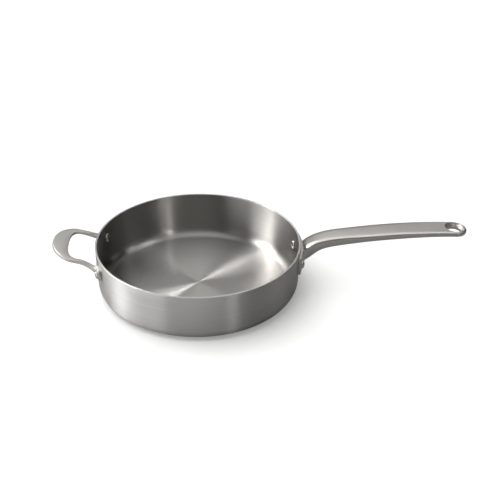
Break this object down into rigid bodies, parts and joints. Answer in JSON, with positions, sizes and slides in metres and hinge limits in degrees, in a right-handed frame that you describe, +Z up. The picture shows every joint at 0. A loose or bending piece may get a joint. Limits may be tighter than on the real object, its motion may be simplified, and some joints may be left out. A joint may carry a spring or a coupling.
{
  "type": "saute pan",
  "caption": "Straight-sided round stainless steel saute pan with a long cast handle, a hanging hole and a looped helper handle opposite, all riveted on.",
  "frame": {"origin": "middle of the flat underside of the pan", "axes": "+X along the long handle, +Z up out of the open top, so the helper handle points along -X"},
  "size_m": [0.546, 0.27, 0.0821],
  "materials": {
    "pan_body": "brushed round the wall, radially brushed floor",
    "cast_handles": "satin cast",
    "rivets": "polished"
  },
  "bodies": {
    "root": {"pan_body": "pan_body", "long_handle": "cast_handles", "helper_handle": "cast_handles", "long_handle_rivet_front": "rivets", "long_handle_rivet_back": "rivets", "helper_handle_rivet_front": "rivets", "helper_handle_rivet_back": "rivets"}
  },
  "joints": []
}
